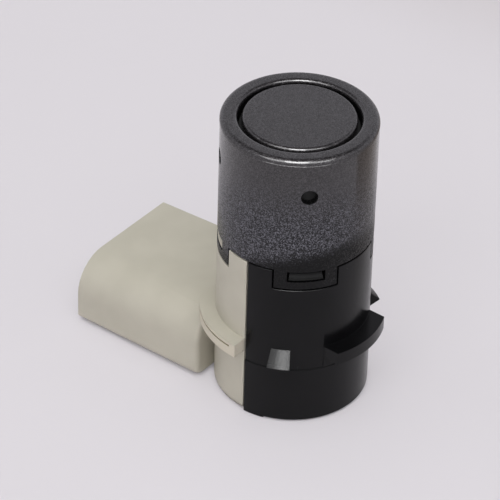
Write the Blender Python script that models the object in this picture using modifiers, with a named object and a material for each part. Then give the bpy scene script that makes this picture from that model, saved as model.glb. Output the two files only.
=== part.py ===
"""Parking sensor: a painted sensing head on a two-part plastic body with a side connector.

The frame is in metres. Z runs along the sensor from the rear face, at 0, to the membrane, and
the connector points to -X. The body is split lengthwise at X = 0: the connector half is on the
-X side and the cover half on the +X side. The head's sleeve slides over both and locks them.
"""

import math

import bmesh
import bpy
from mathutils import Matrix, Vector

MM = 0.001

# Whole sensor
TOTAL_HEIGHT = 50.25 * MM
BODY_RADIUS = 12.25 * MM
WALL = 1.3 * MM
FIT_GAP = 0.3 * MM
SEGMENTS = 72
INNER_SEGMENTS = 48
SMALL_SEGMENTS = 32
HOLE_SEGMENTS = 20
OVERLAP = 0.35 * MM
JOIN_INSET = 0.01 * MM
CUT_MARGIN = 1.0 * MM

# Sleeve of the head
SLEEVE_HEIGHT = 20.7 * MM
RIM_WIDTH = 2.65 * MM
RIM_PROUD = 0.06 * MM
RIM_BEAD_HEIGHT = 0.88 * MM
RIM_GROOVE = 0.07 * MM
RIM_ROUND = 0.85 * MM
RIM_BORE_ROUND = 0.55 * MM
FLANGE_DEPTH = 2.6 * MM
TONGUE_LENGTH = 3.4 * MM
TONGUE_SWEEP = math.radians(47.2)
TONGUE_ANGLES = [math.radians(a) for a in (45, 135, 225, 315)]
WINDOW_SWEEP = math.radians(28.2)
WINDOW_HEIGHT = 1.9 * MM
WINDOW_SILL = 1.35 * MM
LUG_PROUD = 1.5 * MM
SIDE_HOLE_DIAMETER = 2.65 * MM
SIDE_HOLE_DEPTH = 6.75 * MM

# Membrane cup, with the soft ring and the pieces behind it
DISC_GAP = 0.7 * MM
DISC_SINK = 0.1 * MM
DISC_LIP = 1.4 * MM
DISC_ROUND = 0.5 * MM
CUP_HEIGHT = 9.0 * MM
CUP_STEP = 0.9 * MM
CUP_WALL = 1.1 * MM
MEMBRANE_THICKNESS = 0.9 * MM
POCKET_DEPTH = 3.9 * MM
POCKET_MARGIN = 0.3 * MM
POCKET_WIDTH = 8.6 * MM
RING_FLOOR = 1.9 * MM
RING_FLOOR_WIDTH = 1.8 * MM
CARRIER_THICKNESS = 1.7 * MM
CARRIER_TUBE_HEIGHT = 1.2 * MM
CARRIER_TUBE_WALL = 0.5 * MM
PIEZO_RADIUS = 3.6 * MM
PIEZO_THICKNESS = 0.5 * MM
PAD_THICKNESS = 2.8 * MM
LEAD_RADIUS = 0.25 * MM
LEAD_SPACING = 3.0 * MM
LEAD_CLEARANCE = 0.36 * MM
LEAD_BOW = 0.5 * MM
LEAD_OVERLAP_ON_BOARD = 3.2 * MM

# Body halves
NECK_WALL = 1.3 * MM
NECK_STEP_HEIGHT = 3.7 * MM
NECK_CHAMFER = 0.3 * MM
POCKET_INSET = 0.05 * MM
SHOULDER_ROUND = 0.15 * MM
BASE_ROUND = 0.15 * MM
BASE_LIFT = 0.45 * MM
FLOOR_THICKNESS = 1.3 * MM
FLOOR_PAD_MARGIN = 2.85 * MM
PARTING_HEIGHT = 10.4 * MM
PARTING_STEP = 0.15 * MM
FOOT_HEIGHT = 0.35 * MM
FOOT_SWEEP = math.radians(17)
RAIL_REACH = 1.6 * MM
RAIL_WALL = 0.9 * MM
RAIL_ROOT = 0.8 * MM
RAIL_HEADROOM = 1.5 * MM
GUIDE_WIDTH = 1.0 * MM
GUIDE_REACH = 1.5 * MM

# Stops and barbs that hold the sensor in its bracket
STOP_REACH = 2.55 * MM
STOP_BOTTOM = 12.1 * MM
STOP_THICKNESS = 2.25 * MM
STOP_FLAT_PROUD = 0.1 * MM
COVER_STOP_WIDTH = 12.2 * MM
GROOVE_DEPTH = 0.3 * MM
GROOVE_WIDTH = 0.3 * MM
GROOVE_BELOW_TOP = 0.45 * MM
GROOVE_END = math.radians(5)
BARB_ANGLES = [math.radians(a) for a in (61.7, -61.7)]
BARB_SWEEP = math.radians(14.4)
BARB_REACH = 2.35 * MM
BARB_TOP = 14.15 * MM
BARB_TIP = 12.05 * MM
BARB_LAND = 0.2 * MM

# Connector
SHROUD_LENGTH = 24.8 * MM
SHROUD_SINK = 1.95 * MM
SHROUD_WIDTH = 22.7 * MM
SHROUD_HEIGHT = 12.2 * MM
SHROUD_WIDTH_DRAFT = 0.4 * MM
SHROUD_HEIGHT_DRAFT = 1.2 * MM
SHROUD_WALL = 1.2 * MM
SHROUD_SIDE_ROUND = 6.0 * MM
SHROUD_FOOT_ROUND = 2.0 * MM
SHROUD_FOOT_ROUND_AT_MOUTH = 0.9 * MM
SHROUD_KEY_ROUND = 0.5 * MM
SHROUD_INNER_ROUND = 1.0 * MM
SHROUD_END_ROUND = 0.8 * MM
MOUTH_DEPTH = 15.1 * MM
ARC_STEPS = 8
PIN_COUNT = 3
PIN_PITCH = 4.0 * MM
PIN_WIDTH = 0.8 * MM
PIN_THICKNESS = 0.64 * MM
PIN_HEIGHT = 5.8 * MM
PIN_SINK = 4.2 * MM
PIN_TAPER = 0.7 * MM
PIN_TAIL = 0.6 * MM

# Circuit board and what it carries
BOARD_THICKNESS = 1.6 * MM
BOARD_CENTRE = 2.2 * MM
BOARD_HEADROOM = 1.3 * MM
CORE_WIDTH = 11.4 * MM
CORE_HEIGHT = 7.0 * MM
CORE_PLATE = 1.2 * MM
CORE_SIDE = 1.2 * MM
CORE_POST_RADIUS = 1.3 * MM
TRANSFORMER_CLEARANCE = 1.45 * MM
BOBBIN_FLANGE = 0.8 * MM
BOBBIN_RADIUS = 4.1 * MM
BOBBIN_TUBE = 0.8 * MM
WINDING_INSET = 0.3 * MM
CAPACITOR_RADIUS = 3.1 * MM
CAPACITOR_LENGTH = 5.4 * MM
CAPACITOR_CRIMP = 0.25 * MM
CAPACITOR_CRIMP_HEIGHT = 1.2 * MM
CHIP_LENGTH = 10.3 * MM
CHIP_WIDTH = 7.5 * MM
CHIP_HEIGHT = 2.3 * MM
CHIP_STANDOFF = 0.15 * MM
LEG_COUNT = 8
LEG_PITCH = 1.27 * MM
LEG_WIDTH = 0.4 * MM
LEG_THICKNESS = 0.25 * MM
LEG_REACH = 1.4 * MM
SMALL_WIDTH = 1.25 * MM
MIDDLE_CLEARANCE = 0.5 * MM
EDGE_ROW_INSET = 3.25 * MM
DIODE_OFFSET = 0.125 * MM
PIN_HOLE_MARGIN = 0.08 * MM
EDGE_BEVEL = 0.08 * MM
DISC_BEVEL = 0.2 * MM

# Heights and radii that follow from the sizes above
SLEEVE_BOTTOM = TOTAL_HEIGHT - SLEEVE_HEIGHT
TONGUE_BOTTOM = SLEEVE_BOTTOM - TONGUE_LENGTH
WINDOW_BOTTOM = TONGUE_BOTTOM + WINDOW_SILL
WINDOW_TOP = WINDOW_BOTTOM + WINDOW_HEIGHT
INNER_RADIUS = BODY_RADIUS - WALL
NECK_RADIUS = INNER_RADIUS - FIT_GAP
NECK_BORE = NECK_RADIUS - NECK_WALL
RIM_BORE = BODY_RADIUS - RIM_WIDTH
DISC_RADIUS = RIM_BORE - DISC_GAP
CUP_RADIUS = DISC_RADIUS - CUP_STEP
FLANGE_BOTTOM = TOTAL_HEIGHT - FLANGE_DEPTH
CUP_TOP = TOTAL_HEIGHT - DISC_SINK
CUP_BOTTOM = CUP_TOP - CUP_HEIGHT
CUP_BORE = CUP_RADIUS - CUP_WALL
POCKET_LENGTH = 2 * (CUP_BORE - POCKET_MARGIN)
MEMBRANE_UNDERSIDE = CUP_TOP - MEMBRANE_THICKNESS
POCKET_FLOOR = MEMBRANE_UNDERSIDE - POCKET_DEPTH
RING_TOP = CUP_TOP - DISC_LIP - FIT_GAP
RING_SHOULDER = FLANGE_BOTTOM - FIT_GAP
RING_BOTTOM = CUP_BOTTOM - FIT_GAP - RING_FLOOR
CARRIER_TOP = RING_BOTTOM - FIT_GAP
CARRIER_BOTTOM = CARRIER_TOP - CARRIER_THICKNESS
NECK_TOP = CARRIER_BOTTOM - FIT_GAP
SHOULDER = SLEEVE_BOTTOM - FIT_GAP
PIEZO_TOP = MEMBRANE_UNDERSIDE - FIT_GAP
PIEZO_BOTTOM = PIEZO_TOP - PIEZO_THICKNESS
PAD_TOP = POCKET_FLOOR - FIT_GAP
POCKET_STEP = SHOULDER - NECK_STEP_HEIGHT - NECK_WALL
STOP_TOP = STOP_BOTTOM + STOP_THICKNESS
STOP_RADIUS = BODY_RADIUS + STOP_REACH
BARB_RADIUS = BODY_RADIUS + BARB_REACH
FLOOR_PAD_RADIUS = BODY_RADIUS - FLOOR_PAD_MARGIN
SHROUD_START = BODY_RADIUS - SHROUD_SINK
SHROUD_MOUTH = SHROUD_START + SHROUD_LENGTH
MOUTH_FLOOR = SHROUD_MOUTH - MOUTH_DEPTH
BOARD_FRONT = -BOARD_CENTRE + BOARD_THICKNESS / 2
BOARD_REAR = -BOARD_CENTRE - BOARD_THICKNESS / 2
FLOOR_TOP = BASE_LIFT + FLOOR_THICKNESS
BOARD_BOTTOM = FLOOR_TOP + FIT_GAP
BOARD_TOP = NECK_TOP - BOARD_HEADROOM
BOARD_STEP = POCKET_STEP - FIT_GAP
PART_FRONT = BOARD_FRONT + FIT_GAP
TRANSFORMER_REACH = NECK_BORE - TRANSFORMER_CLEARANCE - PART_FRONT
BOBBIN_LENGTH = TRANSFORMER_REACH - 2 * (CORE_PLATE + FIT_GAP)
LEAD_X = PART_FRONT + LEAD_RADIUS
LEAD_HOLE_RADIUS = LEAD_RADIUS + LEAD_CLEARANCE
HALF_TURN = math.pi
FULL_TURN = 2 * math.pi

# Places on the board. The height that its largest parts leave free is shared out between them.
SPARE_HEIGHT = BOARD_TOP - PIN_HEIGHT - CORE_HEIGHT - 2 * CAPACITOR_RADIUS - SMALL_WIDTH
TRANSFORMER_Z = PIN_HEIGHT + 0.35 * SPARE_HEIGHT + CORE_HEIGHT / 2
CAPACITOR_Z = TRANSFORMER_Z + CORE_HEIGHT / 2 + 0.06 * SPARE_HEIGHT + CAPACITOR_RADIUS
TOP_ROW_Z = CAPACITOR_Z + CAPACITOR_RADIUS + 0.23 * SPARE_HEIGHT + SMALL_WIDTH / 2
CAPACITOR_Y = -MIDDLE_CLEARANCE - CAPACITOR_RADIUS
EDGE_ROW_Y = NECK_RADIUS - EDGE_ROW_INSET
OUTER_PIN_EDGE = (PIN_COUNT - 1) / 2 * PIN_PITCH + PIN_WIDTH / 2
DIODE_Y = -(OUTER_PIN_EDGE + NECK_RADIUS - RAIL_WALL) / 2 - DIODE_OFFSET


def board_z(share):
    """The height at a share of the way up the board."""
    return BOARD_BOTTOM + share * (BOARD_TOP - BOARD_BOTTOM)


SMALL_PARTS = {
    # name: (length along Y, width along Z and height in mm), Y, Z, side
    "resonator": ((5.0, 3.2, 1.3), 4.4 * MM, CAPACITOR_Z, "front"),
    "protection_diode": ((2.6, 4.3, 2.2), DIODE_Y, board_z(0.117), "front"),
    "ceramic_capacitor_1": ((2.0, 1.25, 1.0), 4.6 * MM, TOP_ROW_Z, "front"),
    "ceramic_capacitor_2": ((2.0, 1.25, 1.0), -EDGE_ROW_Y, board_z(0.27), "rear"),
    "ceramic_capacitor_3": ((2.0, 1.25, 1.0), EDGE_ROW_Y, board_z(0.15), "front"),
    "resistor_1": ((1.6, 0.8, 0.5), -4.6 * MM, TOP_ROW_Z, "front"),
    "resistor_2": ((1.6, 0.8, 0.5), EDGE_ROW_Y, board_z(0.27), "rear"),
    "resistor_3": ((1.6, 0.8, 0.5), -4.0 * MM, board_z(0.75), "rear"),
}
CHIP_Z = board_z(0.4925)


def angle_over(length, radius):
    """The angle that a short length takes up at a radius."""
    return length / radius


def chord_y(radius, x):
    """Y on a circle round the axis, at a given X."""
    return math.sqrt(radius * radius - x * x)


def clear_scene():
    for old in list(bpy.data.objects):
        bpy.data.objects.remove(old, do_unlink=True)


def make_collection(name):
    made = bpy.data.collections.new(name)
    bpy.context.scene.collection.children.link(made)
    return made


def make_material(name, colour, roughness, metallic=0.0):
    material = bpy.data.materials.new(name)
    material.use_nodes = True
    shader = material.node_tree.nodes["Principled BSDF"]
    shader.inputs["Base Color"].default_value = (*colour, 1.0)
    shader.inputs["Roughness"].default_value = roughness
    shader.inputs["Metallic"].default_value = metallic
    return material


def make_materials():
    return {
        "paint": make_material("head_paint", (0.09, 0.09, 0.10), 0.35, 0.6),
        "black": make_material("black_plastic", (0.017, 0.017, 0.018), 0.5),
        "beige": make_material("beige_plastic", (0.45, 0.42, 0.36), 0.45),
        "silicone": make_material("black_silicone", (0.012, 0.012, 0.012), 0.7),
        "ceramic": make_material("piezo_ceramic", (0.62, 0.6, 0.52), 0.5),
        "foam": make_material("damping_foam", (0.2, 0.2, 0.21), 0.9),
        "board": make_material("circuit_board", (0.02, 0.16, 0.07), 0.4),
        "chip": make_material("chip_plastic", (0.02, 0.02, 0.022), 0.4),
        "tin": make_material("tinned_metal", (0.72, 0.71, 0.68), 0.25, 1.0),
        "ferrite": make_material("ferrite", (0.05, 0.05, 0.055), 0.6),
        "copper": make_material("enamelled_copper", (0.55, 0.2, 0.08), 0.3, 1.0),
        "wire": make_material("wire_sleeve", (0.35, 0.03, 0.03), 0.5),
        "aluminium": make_material("aluminium_can", (0.7, 0.7, 0.72), 0.3, 1.0),
    }


clear_scene()
SENSOR = make_collection("parking_sensor")
CUTTERS = make_collection("cutters")
MATERIALS = make_materials()


def add_object(name, mesh, material=None):
    """A visible piece when it has a material, and otherwise a hidden cutter or filler."""
    made = bpy.data.objects.new(name, mesh)
    if material:
        SENSOR.objects.link(made)
        mesh.materials.append(MATERIALS[material])
        mesh.shade_smooth()
        mesh.set_sharp_from_angle(angle=math.radians(30))
    else:
        CUTTERS.objects.link(made)
        made.hide_render = True
        made.display_type = "WIRE"
    return made


def mesh_of(bm, name):
    bmesh.ops.recalc_face_normals(bm, faces=bm.faces)
    mesh = bpy.data.meshes.new(name)
    bm.to_mesh(mesh)
    bm.free()
    return mesh


def turned(name, profile, material=None, closed=True, segments=SEGMENTS):
    """A profile of (radius, height) points turned round Z. It runs down its outer side."""
    bm = bmesh.new()
    points = [bm.verts.new((radius, 0.0, height)) for radius, height in profile]
    for first, second in zip(points, points[1:]):
        bm.edges.new((first, second))
    if closed:
        bm.edges.new((points[-1], points[0]))
    mesh = bpy.data.meshes.new(name)
    bm.to_mesh(mesh)
    bm.free()
    made = add_object(name, mesh, material)
    screw = made.modifiers.new("turn", "SCREW")
    screw.axis = "Z"
    screw.angle = FULL_TURN
    screw.steps = screw.render_steps = segments
    screw.use_merge_vertices = True
    screw.merge_threshold = 0.00001
    screw.use_smooth_shade = True
    return made


def disc(name, radius, bottom, top, material=None, edge=0.0, segments=SEGMENTS):
    """A flat cylinder on the axis, with an optional chamfer on both edges."""
    profile = [(0.0, top), (radius - edge, top), (radius, top - edge)]
    profile += [(radius, bottom + edge), (radius - edge, bottom), (0.0, bottom)]
    if not edge:
        profile = [(0.0, top), (radius, top), (radius, bottom), (0.0, bottom)]
    return turned(name, profile, material, closed=False, segments=segments)


def sector(name, profile, middle, sweep, material=None):
    """A closed profile of (radius, height) points swept round Z through part of a circle."""
    bm = bmesh.new()
    start = middle - sweep / 2
    turn = Matrix.Rotation(start, 4, "Z")
    face = bm.faces.new([bm.verts.new(turn @ Vector((r, 0.0, z))) for r, z in profile])
    steps = max(2, round(sweep / FULL_TURN * SEGMENTS))
    source = [face, *face.verts, *face.edges]
    bmesh.ops.spin(bm, geom=source, axis=(0, 0, 1), cent=(0, 0, 0), angle=sweep, steps=steps)
    return add_object(name, mesh_of(bm, name), material)


def prism(name, outline, bottom, top, material=None):
    """An outline of (x, y) points, standing from one height to another."""
    bm = bmesh.new()
    face = bm.faces.new([bm.verts.new((x, y, bottom)) for x, y in outline])
    raised = bmesh.ops.extrude_face_region(bm, geom=[face])["geom"]
    rise = Vector((0.0, 0.0, top - bottom))
    bmesh.ops.translate(bm, vec=rise, verts=[v for v in raised if isinstance(v, bmesh.types.BMVert)])
    return add_object(name, mesh_of(bm, name), material)


def box(name, low, high, material=None, edge=0.0):
    """A block between two corners, with an optional small bevel."""
    bm = bmesh.new()
    size = [b - a for a, b in zip(low, high)]
    middle = [(a + b) / 2 for a, b in zip(low, high)]
    place = Matrix.Translation(middle) @ Matrix.Diagonal((*size, 1.0))
    bmesh.ops.create_cube(bm, size=1.0, matrix=place)
    made = add_object(name, mesh_of(bm, name), material)
    if edge:
        bevel = made.modifiers.new("edges", "BEVEL")
        bevel.width = edge
        bevel.segments = 1
    return made


def combine(target, other, operation):
    step = target.modifiers.new(other.name, "BOOLEAN")
    step.operation = operation
    step.object = other
    return target


def cut(target, other):
    return combine(target, other, "DIFFERENCE")


def join(target, other):
    return combine(target, other, "UNION")


def arc(centre_r, centre_z, radius, start, end, steps=ARC_STEPS):
    """Points on an arc, in degrees from the outward direction towards +Z."""
    angles = [math.radians(start + (end - start) * i / steps) for i in range(steps + 1)]
    return [(centre_r + radius * math.cos(a), centre_z + radius * math.sin(a)) for a in angles]


def radial_hole(name, radius, angle, height):
    """A cutter for a round hole through the wall, pointing away from the axis."""
    reach = 2 * (WALL + CUT_MARGIN)
    made = disc(name, radius, -reach / 2, reach / 2, segments=SMALL_SEGMENTS)
    place = Matrix.Rotation(angle, 4, "Z") @ Matrix.Translation((BODY_RADIUS, 0.0, height))
    made.matrix_world = place @ Matrix.Rotation(math.pi / 2, 4, "Y")
    return made


def sleeve_profile():
    rim_radius = BODY_RADIUS + RIM_PROUD
    bore_centre = (RIM_BORE + RIM_BORE_ROUND, TOTAL_HEIGHT - RIM_BORE_ROUND)
    bore_round = arc(*bore_centre, RIM_BORE_ROUND, 180, 90, 4)
    rim_round = arc(rim_radius - RIM_ROUND, TOTAL_HEIGHT - RIM_ROUND, RIM_ROUND, 90, 0, 6)
    bead_bottom = TOTAL_HEIGHT - RIM_BEAD_HEIGHT
    groove_bottom = bead_bottom - RIM_GROOVE
    wall = [
        (rim_radius, bead_bottom),
        (BODY_RADIUS - RIM_GROOVE, groove_bottom),
        (BODY_RADIUS, groove_bottom - 1.5 * RIM_GROOVE),
        (BODY_RADIUS, TONGUE_BOTTOM),
        (INNER_RADIUS, TONGUE_BOTTOM),
        (INNER_RADIUS, FLANGE_BOTTOM),
        (RIM_BORE, FLANGE_BOTTOM),
    ]
    return bore_round + rim_round + wall


def ring_band(inner, outer, bottom, top):
    return [(inner, top), (outer, top), (outer, bottom), (inner, bottom)]


def make_sleeve():
    """The painted tube of the head, with four tongues that snap over the body's lugs."""
    sleeve = turned("head_sleeve", sleeve_profile(), "paint")
    inside = INNER_RADIUS - CUT_MARGIN
    outside = BODY_RADIUS + CUT_MARGIN
    between = math.pi / 2 - TONGUE_SWEEP
    for number, angle in enumerate(TONGUE_ANGLES, 1):
        low = ring_band(inside, outside, TONGUE_BOTTOM - CUT_MARGIN, SLEEVE_BOTTOM)
        cut(sleeve, sector(f"tongue_gap_{number}", low, angle + math.pi / 4, between))
        window = ring_band(inside, outside, WINDOW_BOTTOM, WINDOW_TOP)
        cut(sleeve, sector(f"tongue_window_{number}", window, angle, WINDOW_SWEEP))
        hole_height = TOTAL_HEIGHT - SIDE_HOLE_DEPTH
        cut(sleeve, radial_hole(f"side_hole_{number}", SIDE_HOLE_DIAMETER / 2, angle, hole_height))
    return sleeve


def oval_outline(length, width, steps=40):
    """A slot shape: two half circles joined by straight sides, long in X."""
    radius = width / 2
    offset = length / 2 - radius
    half = steps // 2
    right = [(-math.pi / 2 + math.pi * i / half, offset) for i in range(half + 1)]
    left = [(math.pi / 2 + math.pi * i / half, -offset) for i in range(half + 1)]
    return [(x + radius * math.cos(a), radius * math.sin(a)) for a, x in right + left]


def make_membrane_cup():
    """The aluminium cup whose face is the vibrating membrane. Its pocket is oval."""
    face_round = arc(DISC_RADIUS - DISC_ROUND, CUP_TOP - DISC_ROUND, DISC_ROUND, 90, 0, 4)
    lip_bottom = CUP_TOP - DISC_LIP
    rest = [
        (DISC_RADIUS, lip_bottom),
        (CUP_RADIUS, lip_bottom),
        (CUP_RADIUS, CUP_BOTTOM),
        (CUP_BORE, CUP_BOTTOM),
        (CUP_BORE, POCKET_FLOOR),
        (0.0, POCKET_FLOOR),
    ]
    cup = turned("membrane_cup", [(0.0, CUP_TOP)] + face_round + rest, "paint", closed=False)
    slot = oval_outline(POCKET_LENGTH, POCKET_WIDTH)
    return cut(cup, prism("cup_pocket", slot, POCKET_FLOOR - CUT_MARGIN, MEMBRANE_UNDERSIDE))


def make_decoupling_ring():
    """The soft ring that holds the cup and keeps its vibration out of the sleeve."""
    inner = CUP_RADIUS + FIT_GAP
    lip = RIM_BORE - FIT_GAP
    floor_bore = CUP_RADIUS - RING_FLOOR_WIDTH
    profile = [
        (inner, RING_TOP),
        (lip, RING_TOP),
        (lip, RING_SHOULDER),
        (NECK_RADIUS, RING_SHOULDER),
        (NECK_RADIUS, RING_BOTTOM),
        (floor_bore, RING_BOTTOM),
        (floor_bore, RING_BOTTOM + RING_FLOOR),
        (inner, RING_BOTTOM + RING_FLOOR),
    ]
    return turned("decoupling_ring", profile, "silicone", segments=INNER_SEGMENTS)


def lead_places():
    return [(LEAD_X, side * LEAD_SPACING / 2) for side in (-1, 1)]


def drill_lead_holes(target, bottom, top):
    for number, (x, y) in enumerate(lead_places(), 1):
        hole = disc(f"{target.name}_hole_{number}", LEAD_HOLE_RADIUS, bottom, top, segments=HOLE_SEGMENTS)
        hole.location = (x, y, 0.0)
        cut(target, hole)
    return target


def make_carrier():
    """The plastic disc under the soft ring. Two short tubes guide the leads."""
    heights = (CARRIER_BOTTOM, CARRIER_TOP)
    carrier = disc("lead_carrier", NECK_RADIUS, *heights, "black", DISC_BEVEL, INNER_SEGMENTS)
    tube_radius = LEAD_HOLE_RADIUS + CARRIER_TUBE_WALL
    tube_top = CARRIER_TOP + CARRIER_TUBE_HEIGHT
    for number, (x, y) in enumerate(lead_places(), 1):
        tube_name = f"lead_tube_{number}"
        tube = disc(tube_name, tube_radius, CARRIER_TOP - OVERLAP, tube_top, segments=HOLE_SEGMENTS)
        tube.location = (x, y, 0.0)
        join(carrier, tube)
    return drill_lead_holes(carrier, CARRIER_BOTTOM - CUT_MARGIN, tube_top + CUT_MARGIN)


def make_damping_pad():
    pad_bottom = PAD_TOP - PAD_THICKNESS
    radius = CUP_BORE - FIT_GAP
    pad = disc("damping_pad", radius, pad_bottom, PAD_TOP, "foam", DISC_BEVEL, INNER_SEGMENTS)
    return drill_lead_holes(pad, pad_bottom - CUT_MARGIN, PAD_TOP + CUT_MARGIN)


def make_lead(name, x, y):
    """A wire from the piezo disc to the board, with a slight bow between carrier and pad."""
    bottom = BOARD_TOP - LEAD_OVERLAP_ON_BOARD
    top = PIEZO_BOTTOM - FIT_GAP
    bow_start = CARRIER_TOP + CARRIER_TUBE_HEIGHT
    bow_end = PAD_TOP - PAD_THICKNESS
    steps = 8
    free = []
    for t in [i / steps for i in range(steps + 1)]:
        bow = LEAD_BOW * math.sin(math.pi * t) ** 2
        free.append((x + bow, bow_start + t * (bow_end - bow_start)))
    route = [(x, bottom), *free, (x, top)]
    curve = bpy.data.curves.new(name, "CURVE")
    curve.dimensions = "3D"
    curve.bevel_depth = LEAD_RADIUS
    curve.bevel_resolution = 2
    curve.use_fill_caps = True
    spline = curve.splines.new("POLY")
    spline.points.add(len(route) - 1)
    for point, (px, pz) in zip(spline.points, route):
        point.co = (px, y, pz, 1.0)
    made = bpy.data.objects.new(name, curve)
    curve.materials.append(MATERIALS["wire"])
    SENSOR.objects.link(made)
    return made


def body_profile(bottom, parting_step):
    """The section of a body half, up the inside and down the outside."""
    inside = [
        (INNER_RADIUS, bottom),
        (INNER_RADIUS, POCKET_STEP),
        (NECK_BORE, POCKET_STEP + INNER_RADIUS - NECK_BORE),
        (NECK_BORE, NECK_TOP),
    ]
    neck = [
        (NECK_RADIUS - NECK_CHAMFER, NECK_TOP),
        (NECK_RADIUS, NECK_TOP - NECK_CHAMFER),
        (NECK_RADIUS, SHOULDER),
    ]
    shoulder_centre = (BODY_RADIUS - SHOULDER_ROUND, SHOULDER - SHOULDER_ROUND)
    shoulder_round = arc(*shoulder_centre, SHOULDER_ROUND, 90, 0, 2)
    low_radius = BODY_RADIUS + parting_step
    step = []
    if parting_step:
        step = [(BODY_RADIUS, PARTING_HEIGHT), (low_radius, PARTING_HEIGHT - parting_step)]
    base_round = arc(low_radius - BASE_ROUND, bottom + BASE_ROUND, BASE_ROUND, 0, -90, 3)
    return inside + neck + shoulder_round + step + base_round


def cut_tongue_pockets(half, angles):
    """Recesses that take the sleeve's tongues, each with the lug that the tongue's window catches."""
    pocket_floor = NECK_RADIUS - POCKET_INSET
    pocket_sweep = TONGUE_SWEEP + 2 * angle_over(FIT_GAP, BODY_RADIUS)
    lug_sweep = WINDOW_SWEEP - 2 * angle_over(FIT_GAP, BODY_RADIUS)
    lug_radius = NECK_RADIUS + LUG_PROUD
    lug_top = WINDOW_TOP - FIT_GAP
    lug_bottom = WINDOW_BOTTOM + FIT_GAP
    lug_profile = [
        (pocket_floor - OVERLAP, lug_top),
        (pocket_floor + LUG_PROUD / 3, lug_top),
        (lug_radius, lug_bottom + (lug_top - lug_bottom) / 4),
        (lug_radius, lug_bottom),
        (pocket_floor - OVERLAP, lug_bottom),
    ]
    recess_radius = BODY_RADIUS + CUT_MARGIN
    recess_top = SHOULDER + CUT_MARGIN / 4
    recess = ring_band(pocket_floor, recess_radius, TONGUE_BOTTOM - FIT_GAP, recess_top)
    for number, angle in enumerate(angles, 1):
        cut(half, sector(f"{half.name}_pocket_{number}", recess, angle, pocket_sweep))
        join(half, sector(f"{half.name}_lug_{number}", lug_profile, angle, lug_sweep))
    return half


def half_space(name, side):
    """A cutter that removes everything on one side of the split, and half of the gap."""
    far = 2 * STOP_RADIUS
    low_x, high_x = sorted((-side * FIT_GAP / 2, side * far))
    return box(name, (low_x, -far, -CUT_MARGIN), (high_x, far, TOTAL_HEIGHT + CUT_MARGIN))


def floor_outline(steps=24):
    """The floor is a full disc that reaches into the wall on -X and fits inside the cover on +X."""
    turns = [-math.pi / 2 + math.pi * i / steps for i in range(steps + 1)]
    cover_side = [(NECK_RADIUS * math.cos(a), NECK_RADIUS * math.sin(a)) for a in turns]
    root = INNER_RADIUS + OVERLAP
    edge = math.asin(FIT_GAP / root)
    wall_side = [math.pi / 2 + edge + (math.pi - 2 * edge) * i / steps for i in range(steps + 1)]
    return cover_side + [(root * math.cos(a), root * math.sin(a)) for a in wall_side]


def stop_outline(radius, x_far, x_near, steps=28):
    """The connector half's stop: part of a disc, cut flat over the connector and at the split."""
    corner = math.acos(min(1.0, x_far / radius))
    end = math.acos(x_near / radius)
    inner = INNER_RADIUS + OVERLAP
    sweep = [corner + (end - corner) * i / steps for i in range(steps + 1)]
    upper = [(-radius * math.cos(a), radius * math.sin(a)) for a in sweep]
    inner_end = math.acos(x_near / inner)
    inner_arc = [inner_end * (1 - 2 * i / steps) for i in range(steps + 1)]
    hollow = [(-inner * math.cos(a), inner * math.sin(a)) for a in inner_arc]
    lower = [(x, -y) for x, y in reversed(upper)]
    return lower + upper + hollow


def cut_stop_grooves(half, corner):
    """A fine groove under the stop's top edge, which ends short of the split."""
    top = STOP_TOP - GROOVE_BELOW_TOP
    band = ring_band(STOP_RADIUS - GROOVE_DEPTH, STOP_RADIUS + CUT_MARGIN, top - GROOVE_WIDTH, top)
    start = math.pi / 2 + GROOVE_END
    end = math.pi - corner + GROOVE_END
    for side in (-1, 1):
        middle = side * (start + end) / 2
        cut(half, sector(f"stop_groove_{(side + 3) // 2}", band, middle, end - start))


def shroud_section(x, inset, least_round):
    """The connector's outline across X: broadly rounded on -Y, and nearly square on +Y as a key."""
    share = (-x - SHROUD_START) / SHROUD_LENGTH
    half = (SHROUD_WIDTH - share * SHROUD_WIDTH_DRAFT) / 2 - inset
    low = BASE_LIFT + inset
    high = BASE_LIFT + SHROUD_HEIGHT - share * SHROUD_HEIGHT_DRAFT - inset
    foot_round = SHROUD_FOOT_ROUND + share * (SHROUD_FOOT_ROUND_AT_MOUTH - SHROUD_FOOT_ROUND)
    corners = (
        (-half, low, max(foot_round - inset, least_round), 180, 270),
        (half, low, max(SHROUD_KEY_ROUND - inset, least_round), 270, 360),
        (half, high, max(SHROUD_KEY_ROUND - inset, least_round), 0, 90),
        (-half, high, max(SHROUD_SIDE_ROUND - inset, least_round), 90, 180),
    )
    points = []
    for y, z, radius, start, end in corners:
        centre_y = y - math.copysign(radius, y)
        centre_z = z + radius if z == low else z - radius
        points += [(x, py, pz) for py, pz in arc(centre_y, centre_z, radius, start, end)]
    return points


def loft(name, sections, material=None):
    """A closed solid through outlines that have the same number of points."""
    bm = bmesh.new()
    rings = [[bm.verts.new(point) for point in section] for section in sections]
    count = len(rings[0])
    for first, second in zip(rings, rings[1:]):
        for i in range(count):
            j = (i + 1) % count
            bm.faces.new((first[i], first[j], second[j], second[i]))
    bm.faces.new(rings[0])
    bm.faces.new(list(reversed(rings[-1])))
    return add_object(name, mesh_of(bm, name), material)


def shroud_body():
    """The connector's solid outside, with a rounded closed end and a slight draft to its mouth."""
    rounding = [math.radians(a) for a in (0, 30, 60, 90)]
    sections = []
    for a in rounding:
        x = SHROUD_START + SHROUD_END_ROUND * (1 - math.cos(a))
        inset = SHROUD_END_ROUND * (1 - math.sin(a))
        sections.append(shroud_section(-x, inset, SHROUD_KEY_ROUND / 3))
    sections.append(shroud_section(-SHROUD_MOUTH, 0.0, SHROUD_KEY_ROUND / 3))
    return loft("connector_shroud", sections)


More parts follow.
